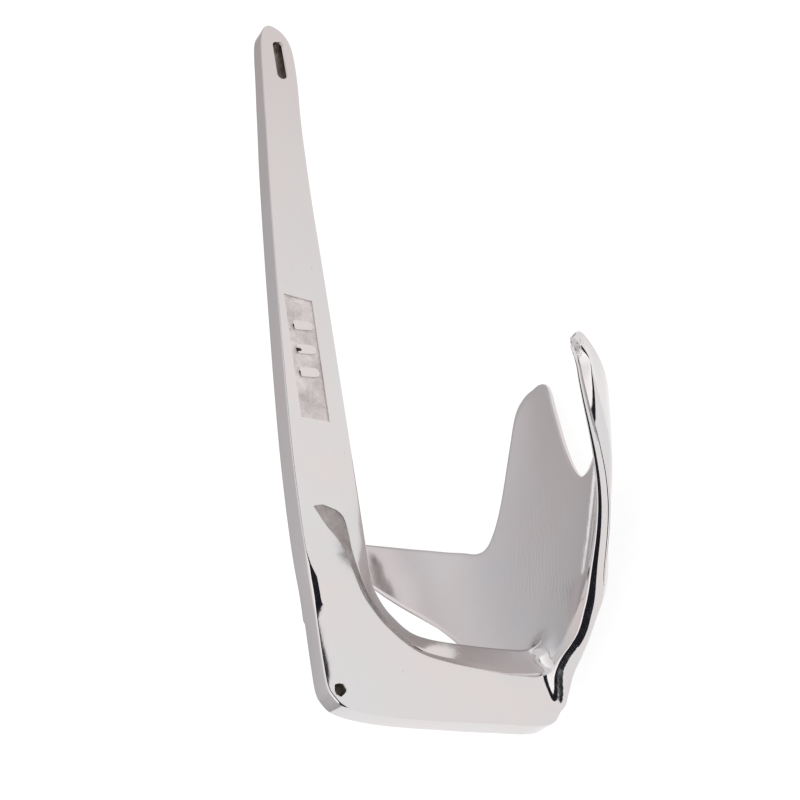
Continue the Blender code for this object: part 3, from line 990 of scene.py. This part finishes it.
def groove_cutter(side, mat):
    """The leaf-shaped hollow left rough from the casting: shallow on its upper side, stepped below."""
    upper = evenly(GROOVE_UPPER, GROOVE_SECTIONS)
    lower = evenly(GROOVE_LOWER, GROOVE_SECTIONS)
    half = thickness_at(GROOVE_MIDDLE) / 2.0
    rings = []
    for (ux, uz), (lx, lz) in zip(upper, lower):
        rings.append([
            Vector((ux, side * (half + CUT_PAST), uz)),
            Vector((ux, side * (half - GROOVE_SHALLOW), uz)),
            Vector(((ux * 2 + lx) / 3, side * (half - GROOVE_DEEP * 0.75), (uz * 2 + lz) / 3)),
            Vector((lx, side * (half - GROOVE_DEEP), lz)),
            Vector((lx, side * (half + CUT_PAST), lz)),
        ])
    return as_object("groove_cutter", closed_loft(rings), [mat])


# ---- materials ----

class Nodes:
    """Short calls for building the nodes of one material, or of the world."""

    def __init__(self, owner, shader="Principled BSDF", place="Object"):
        owner.use_nodes = True
        self.owner = owner
        self.tree = owner.node_tree
        self.shader = self.tree.nodes[shader]
        self.place = self.tree.nodes.new("ShaderNodeTexCoord").outputs[place]

    def link(self, a, b):
        self.tree.links.new(a, b)

    def node(self, kind, **values):
        made = self.tree.nodes.new(kind)
        for key, value in values.items():
            if hasattr(made, key):
                setattr(made, key, value)
            else:
                made.inputs[key.replace("_", " ")].default_value = value
        return made

    def noise(self, scale, detail=3.0, rough=0.5, place=None):
        made = self.node("ShaderNodeTexNoise", Scale=scale, Detail=detail, Roughness=rough)
        self.link(place or self.place, made.inputs["Vector"])
        return made.outputs["Fac"]

    def stretched(self, size, turn):
        made = self.node("ShaderNodeMapping", Scale=size, Rotation=turn)
        self.link(self.place, made.inputs["Vector"])
        return made.outputs["Vector"]

    def span(self, source, low, high, to_low=0.0, to_high=1.0, kind="LINEAR"):
        ends = {"From_Min": low, "From_Max": high, "To_Min": to_low, "To_Max": to_high}
        made = self.node("ShaderNodeMapRange", interpolation_type=kind, **ends)
        self.link(source, made.inputs["Value"])
        return made.outputs["Result"]

    def math(self, operation, *values):
        made = self.node("ShaderNodeMath", operation=operation)
        for socket, value in zip(made.inputs, values):
            if isinstance(value, float):
                socket.default_value = value
            else:
                self.link(value, socket)
        return made.outputs[0]

    def mix(self, share, a, b):
        made = self.node("ShaderNodeMix", data_type="RGBA")
        self.link(share, made.inputs["Factor"])
        for socket, colour in ((made.inputs[6], a), (made.inputs[7], b)):
            if isinstance(colour, tuple):
                socket.default_value = (*colour, 1.0)
            else:
                self.link(colour, socket)
        return made.outputs[2]

    def near(self, spot, reach):
        """1 at a spot, in the anchor's axes, falling to 0 at the given reach in mm."""
        gap = self.node("ShaderNodeVectorMath", operation="DISTANCE")
        self.link(self.place, gap.inputs[0])
        gap.inputs[1].default_value = place(spot)
        return self.span(gap.outputs["Value"], 0.0, reach * MM, 1.0, 0.0)

    def bump(self, height, distance, normal=None):
        made = self.node("ShaderNodeBump", Distance=distance, Strength=1.0)
        self.link(height, made.inputs["Height"])
        if normal:
            self.link(normal, made.inputs["Normal"])
        return made.outputs["Normal"]

    def ramp(self, source, stops):
        made = self.node("ShaderNodeValToRGB")
        self.link(source, made.inputs["Fac"])
        points = made.color_ramp.elements
        while len(points) < len(stops):
            points.new(0.5)
        for point, (spot, colour) in zip(points, stops):
            point.position = spot
            point.color = (*colour, 1.0)
        return made.outputs["Color"]


def polished_steel(name, ripple_spots=(), pit_spots=(), shade=None):
    """Wheel-polished cast stainless: soft waviness, hairline scratches, a few pits and ripples."""
    n = Nodes(bpy.data.materials.new(name))
    n.shader.inputs["Metallic"].default_value = 1.0
    wave = n.noise(55.0, 2.0, 0.4)
    cloud = n.noise(28.0, 3.0, 0.55)
    grain = n.noise(1.0, 3.0, 0.6, n.stretched((260.0, 2600.0, 900.0), (0.0, 0.2, 0.15)))
    speck = n.noise(2300.0, 1.0, 0.5)
    tint_and_painted_shade = n.mix(n.span(cloud, 0.35, 0.65), STEEL_WARM, STEEL_COOL)
    # painted shade: towards the given spot the base colour runs darker, standing in for dimmer
    # reflections there
    if shade:
        tint_and_painted_shade = n.mix(n.near(*shade), tint_and_painted_shade, STEEL_HEAD_PAINTED_SHADE)
    dark = n.span(n.noise(420.0, 2.0, 0.5), 0.70, 0.78, 0.0, 0.35)
    colour = n.mix(dark, tint_and_painted_shade, STEEL_SPOT)
    rough = n.span(cloud, 0.3, 0.7, 0.06, 0.11)
    rough = n.math("ADD", rough, n.span(grain, 0.4, 0.75, 0.0, 0.05))
    normal = n.bump(wave, 0.00022)
    normal = n.bump(grain, 0.0000035, normal)
    normal = n.bump(speck, 0.0000025, normal)
    for spot, reach, pitch, height in ripple_spots:
        line = n.node("ShaderNodeTexWave", bands_direction="Y", Scale=pitch, Distortion=9.0, Detail=2.0)
        line.inputs["Detail Scale"].default_value = 1.1
        n.link(n.place, line.inputs["Vector"])
        share = n.span(n.near(spot, reach), 0.0, 0.55)
        normal = n.bump(n.math("MULTIPLY", line.outputs["Fac"], share), height, normal)
    for spot, reach, size in pit_spots:
        cells = n.node("ShaderNodeTexVoronoi", Scale=size, Randomness=1.0)
        n.link(n.place, cells.inputs["Vector"])
        share = n.near(spot, reach)
        limit = n.math("MULTIPLY", share, 0.42)
        depth = n.math("SUBTRACT", limit, cells.outputs["Distance"])
        hole = n.span(depth, 0.0, 0.12)
        colour = n.mix(hole, colour, STEEL_PIT)
        rough = n.math("ADD", rough, n.span(hole, 0.0, 1.0, 0.0, 0.4))
        normal = n.bump(n.span(hole, 0.0, 1.0, 1.0, 0.0), 0.0003, normal)
    n.link(colour, n.shader.inputs["Base Color"])
    n.link(rough, n.shader.inputs["Roughness"])
    n.link(normal, n.shader.inputs["Normal"])
    return n.owner


def rough_casting(name, light, dark, shade):
    """The skin left by the mould where the polishing wheel doesn't reach."""
    n = Nodes(bpy.data.materials.new(name))
    n.shader.inputs["Metallic"].default_value = 1.0
    sand = n.noise(1500.0, 3.0, 0.65)
    lump = n.noise(420.0, 2.0, 0.5)
    stain = n.noise(130.0, 3.0, 0.6)
    colour = n.mix(n.span(stain, 0.35, 0.68), light, dark)
    colour = n.mix(n.span(sand, 0.58, 0.78, 0.0, 0.55), colour, shade)
    n.link(colour, n.shader.inputs["Base Color"])
    n.link(n.span(lump, 0.3, 0.7, 0.38, 0.6), n.shader.inputs["Roughness"])
    normal = n.bump(lump, 0.00035)
    normal = n.bump(sand, 0.00018, normal)
    n.link(normal, n.shader.inputs["Normal"])
    return n.owner


def pale_floor():
    n = Nodes(bpy.data.materials.new("pale_floor"))
    soft = n.mix(n.span(n.noise(3.0), 0.3, 0.7), *FLOOR_PALE)
    n.link(soft, n.shader.inputs["Base Color"])
    n.shader.inputs["Roughness"].default_value = 0.9
    n.shader.inputs["Emission Color"].default_value = (1.0, 1.0, 1.0, 1.0)
    n.shader.inputs["Emission Strength"].default_value = FLOOR_GLOW
    return n.owner


# ---- studio ----

def studio():
    """White light from above over a dark room behind the camera, and a softer pale wall opposite."""
    world = bpy.data.worlds.new("studio")
    bpy.context.scene.world = world
    n = Nodes(world, "Background", "Generated")
    parts = n.node("ShaderNodeSeparateXYZ")
    n.link(n.place, parts.inputs[0])
    x, y, height = parts.outputs
    front, beside, rear = [n.ramp(height, stops) for stops in (ROOM_STOPS, SIDE_STOPS, WALL_STOPS)]
    near = n.mix(n.span(x, *SIDE_EDGE, kind="SMOOTHSTEP"), front, beside)
    turn = n.math("MULTIPLY_ADD", x, ROOM_TURN, y)
    both = n.mix(n.span(turn, *ROOM_EDGE, kind="SMOOTHSTEP"), near, rear)
    seen = n.node("ShaderNodeLightPath").outputs["Is Camera Ray"]
    n.link(n.mix(seen, both, BACKDROP), n.shader.inputs["Color"])
    n.shader.inputs["Strength"].default_value = ROOM_STRENGTH


def floor():
    """Plain and pale; it lies just below the claw."""
    bm = bmesh.new()
    bmesh.ops.create_grid(bm, x_segments=8, y_segments=8, size=FLOOR_SIZE)
    mesh = bpy.data.meshes.new("floor")
    bm.to_mesh(mesh)
    bm.free()
    obj = bpy.data.objects.new("floor", mesh)
    bpy.context.scene.collection.objects.link(obj)
    mesh.materials.append(pale_floor())
    obj.location = (0.0, 0.0, -FLOOR_DROP)


def camera():
    data = bpy.data.cameras.new("camera")
    data.lens = CAMERA_LENS
    data.sensor_width = 36.0
    data.clip_start = 0.01
    data.clip_end = 50.0
    obj = bpy.data.objects.new("camera", data)
    bpy.context.scene.collection.objects.link(obj)
    back = Vector(CAMERA_BACK).normalized()
    up = Vector(CAMERA_UP)
    right = up.cross(back).normalized()
    up = back.cross(right)
    turn = Matrix((right, up, back)).transposed().to_4x4()
    obj.matrix_world = Matrix.Translation(Vector(CAMERA_PLACE) * MM) @ turn
    bpy.context.scene.camera = obj


# ---- the anchor ----

def build():
    """The four pieces, each riding on the one body and standing in for its own node."""
    shank_steel = polished_steel("shank_polished_steel", (), SHANK_PITS, HEAD_SHADE)
    claw_steel = polished_steel("claw_polished_steel", CLAW_RIPPLES, CLAW_PITS)
    weld_steel = polished_steel("weld_polished_steel")
    panel_skin = rough_casting("panel_cast_skin", CAST_LIGHT, CAST_DARK, CAST_SHADE)
    leaf_skin = rough_casting("leaf_cast_skin", LEAF_LIGHT, LEAF_DARK, LEAF_SHADE)
    hole_skin = rough_casting("hole_cast_skin", HOLE_LIGHT, HOLE_DARK, LEAF_SHADE)

    shank_bm = shank_bmesh()
    claw_bm = claw_bmesh()
    patch = joint_patch(shank_bm, claw_bm)

    shank = as_object("shank_casting", shank_bm, [shank_steel, panel_skin, leaf_skin, hole_skin])
    cut(shank, slot_cutter(hole_skin, shank_steel))
    cut(shank, heel_hole_cutter(hole_skin, shank_steel))
    cut(shank, panel_cutter(panel_skin, shank_steel))
    for side in (-1.0, 1.0):
        cut(shank, groove_cutter(side, leaf_skin))
    low, high = Vector(JOINT_LOW), Vector(JOINT_HIGH)
    trim(shank, [(low, Vector((1.0, 0.0, 0.0)))], lambda p: p.x > low.x)
    with_patch(shank, patch, "shank")

    claw = as_object("claw_casting", claw_bm, [claw_steel])
    across, along = Vector((0.0, 1.0, 0.0)), Vector((0.0, 0.0, 1.0))
    trim(claw, [(high, across), (low, across), (high, along)], in_block)
    with_patch(claw, patch, "claw")

    pieces = [(shank, "shank", "shank_steel"), (claw, "claw", "claw_steel")]
    for owner in ("near", "far"):
        mesh = bpy.data.meshes.new("weld_bead_" + owner)
        mesh.materials.append(weld_steel)
        bead = bpy.data.objects.new("weld_bead_" + owner, mesh)
        bpy.context.scene.collection.objects.link(bead)
        with_patch(bead, patch, owner)
        pieces.append((bead, "weld_fillet_" + owner, "weld_steel"))
    for obj, node, slot in pieces:
        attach(obj, "root")
        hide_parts(node)


studio()
floor()
camera()
build()
bpy.context.scene.view_settings.view_transform = "Standard"
